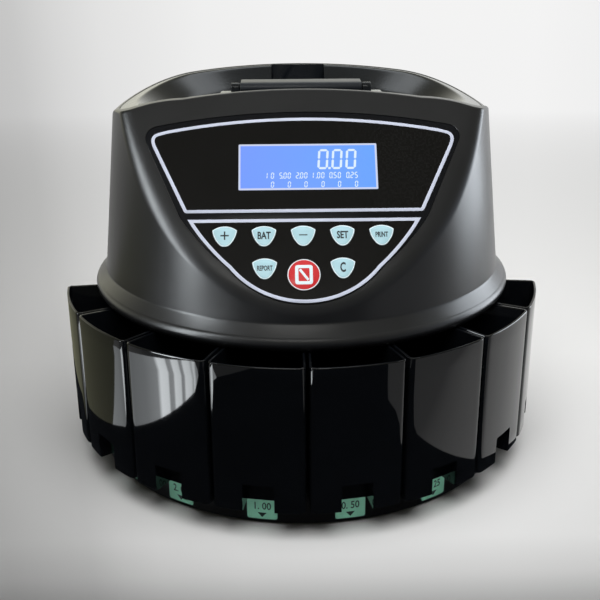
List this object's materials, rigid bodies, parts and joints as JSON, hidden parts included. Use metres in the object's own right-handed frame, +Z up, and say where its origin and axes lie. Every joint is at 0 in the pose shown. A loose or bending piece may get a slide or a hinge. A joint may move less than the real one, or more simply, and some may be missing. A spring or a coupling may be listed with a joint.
{
  "type": "coin sorting machine",
  "caption": "Table-top coin counter and sorter: round black body with a hopper, a sloping console with display and keys, and a fan of pull-out coin cups.",
  "frame": {"origin": "on the table, under the middle of the outline, seen from above", "axes": "+Z up, +X to the right of someone facing the console, -Y towards that person"},
  "size_m": [0.3538, 0.33, 0.2734],
  "materials": {
    "shell_black": "fine satin texture",
    "cup_black": "high gloss",
    "hopper_black": "gloss",
    "flap_black": "satin",
    "membrane_black": "printed film",
    "window_blue": "clear over a blue backlit display",
    "key_pale": "smooth film",
    "key_red": "smooth film",
    "label_mint": "printed paper label",
    "foot_rubber": "matt",
    "belt_rubber": "matt",
    "screw_steel": "zinc plated",
    "shaft_steel": "ground",
    "track_steel": "polished by coins",
    "rotor_grey": "moulded",
    "pulley_black": "moulded",
    "bracket_steel": "zinc plated sheet",
    "panel_grey": "fine texture",
    "socket_black": "moulded",
    "rocker_black": "moulded",
    "pin_brass": "plated",
    "port_steel": "nickel plated",
    "board_green": "solder mask"
  },
  "bodies": {
    "main_unit": {"base_plate": "shell_black", "base_screws": "screw_steel", "base_tray": "shell_black", "bearing_housing": "bracket_steel", "coin_sensors": "board_green", "coin_track": "track_steel", "console_membrane": "membrane_black", "deck_screws": "screw_steel", "display_jack": "socket_black", "drive_belt": "belt_rubber", "drive_motor": "bracket_steel", "guide_rail": "track_steel", "hinge_rod": "shaft_steel", "hopper_bowl": "hopper_black", "inlet_pins": "pin_brass", "keypad_board": "board_green", "lcd_module": "board_green", "lcd_window": "window_blue", "lower_bearing": "shaft_steel", "main_board": "board_green", "mechanism_deck": "shell_black", "motor_mount": "bracket_steel", "panel_screws": "screw_steel", "power_inlet": "socket_black", "printer_port": "port_steel", "rear_housing": "shell_black", "rear_panel": "panel_grey", "rubber_feet": "foot_rubber", "switch_frame": "socket_black", "transformer": "bracket_steel", "upper_bearing": "shaft_steel", "upper_shell": "shell_black", "value_labels": "label_mint"},
    "cup_1": {"coin_cup_1": "cup_black"},
    "cup_2": {"coin_cup_2": "cup_black"},
    "cup_3": {"coin_cup_3": "cup_black"},
    "cup_4": {"coin_cup_4": "cup_black"},
    "cup_5": {"coin_cup_5": "cup_black"},
    "cup_6": {"coin_cup_6": "cup_black"},
    "cup_7": {"coin_cup_7": "cup_black"},
    "cup_8": {"coin_cup_8": "cup_black"},
    "flap": {"hopper_flap": "flap_black"},
    "rocker": {"switch_rocker": "rocker_black"},
    "rotor": {"sorting_rotor": "rotor_grey", "rotor_shaft": "shaft_steel", "rotor_nut": "shaft_steel", "driven_pulley": "pulley_black"},
    "motor_rotor": {"motor_shaft": "shaft_steel", "motor_pulley": "pulley_black"},
    "key_plus_cap": {"key_plus": "key_pale"},
    "key_bat_cap": {"key_bat": "key_pale"},
    "key_minus_cap": {"key_minus": "key_pale"},
    "key_set_cap": {"key_set": "key_pale"},
    "key_print_cap": {"key_print": "key_pale"},
    "key_report_cap": {"key_report": "key_pale"},
    "key_start_stop_cap": {"key_start_stop": "key_red"},
    "key_clear_cap": {"key_clear": "key_pale"}
  },
  "joints": [
    {"name": "cup_1_pull", "type": "slide", "parent": "main_unit", "child": "cup_1", "axis": [-0.9529, -0.3033, 0], "range_m": [0, 0.09]},
    {"name": "cup_2_pull", "type": "slide", "parent": "main_unit", "child": "cup_2", "axis": [-0.7845, -0.6201, 0], "range_m": [0, 0.09]},
    {"name": "cup_3_pull", "type": "slide", "parent": "main_unit", "child": "cup_3", "axis": [-0.5151, -0.8571, 0], "range_m": [0, 0.09]},
    {"name": "cup_4_pull", "type": "slide", "parent": "main_unit", "child": "cup_4", "axis": [-0.1794, -0.9838, 0], "range_m": [0, 0.09]},
    {"name": "cup_5_pull", "type": "slide", "parent": "main_unit", "child": "cup_5", "axis": [0.1794, -0.9838, 0], "range_m": [0, 0.09]},
    {"name": "cup_6_pull", "type": "slide", "parent": "main_unit", "child": "cup_6", "axis": [0.5151, -0.8571, 0], "range_m": [0, 0.09]},
    {"name": "cup_7_pull", "type": "slide", "parent": "main_unit", "child": "cup_7", "axis": [0.7845, -0.6201, 0], "range_m": [0, 0.09]},
    {"name": "cup_8_pull", "type": "slide", "parent": "main_unit", "child": "cup_8", "axis": [0.9529, -0.3033, 0], "range_m": [0, 0.09]},
    {"name": "flap_lift", "type": "hinge", "parent": "main_unit", "child": "flap", "pos_m": [0, -0.00649, 0.2687], "axis": [1, 0, 0], "range_deg": [0, 110]},
    {"name": "power_rocker", "type": "hinge", "parent": "main_unit", "child": "rocker", "pos_m": [-0.022, 0.1525, 0.08825], "axis": [1, 0, 0], "range_deg": [-18, 0]},
    {"name": "rotor_spin", "type": "hinge", "parent": "main_unit", "child": "rotor", "pos_m": [0, 0.0135, 0.1309], "axis": [0, 0, 1], "continuous": true},
    {"name": "motor_spin", "type": "hinge", "parent": "main_unit", "child": "motor_rotor", "pos_m": [0, 0.0755, 0.0941], "axis": [0, 0, 1], "continuous": true},
    {"name": "press_plus", "type": "slide", "parent": "main_unit", "child": "key_plus_cap", "axis": [0, 0.7771, -0.6293], "range_m": [0, 0.0005], "stiffness_N_per_m": 1500},
    {"name": "press_bat", "type": "slide", "parent": "main_unit", "child": "key_bat_cap", "axis": [0, 0.7771, -0.6293], "range_m": [0, 0.0005], "stiffness_N_per_m": 1500},
    {"name": "press_minus", "type": "slide", "parent": "main_unit", "child": "key_minus_cap", "axis": [0, 0.7771, -0.6293], "range_m": [0, 0.0005], "stiffness_N_per_m": 1500},
    {"name": "press_set", "type": "slide", "parent": "main_unit", "child": "key_set_cap", "axis": [0, 0.7771, -0.6293], "range_m": [0, 0.0005], "stiffness_N_per_m": 1500},
    {"name": "press_print", "type": "slide", "parent": "main_unit", "child": "key_print_cap", "axis": [0, 0.7771, -0.6293], "range_m": [0, 0.0005], "stiffness_N_per_m": 1500},
    {"name": "press_report", "type": "slide", "parent": "main_unit", "child": "key_report_cap", "axis": [0, 0.7771, -0.6293], "range_m": [0, 0.0005], "stiffness_N_per_m": 1500},
    {"name": "press_start_stop", "type": "slide", "parent": "main_unit", "child": "key_start_stop_cap", "axis": [0, 0.7771, -0.6293], "range_m": [0, 0.0005], "stiffness_N_per_m": 1500},
    {"name": "press_clear", "type": "slide", "parent": "main_unit", "child": "key_clear_cap", "axis": [0, 0.7771, -0.6293], "range_m": [0, 0.0005], "stiffness_N_per_m": 1500}
  ],
  "couplings": [
    {"joint": "motor_spin", "follows": "rotor_spin", "ratio": 3.1111}
  ]
}
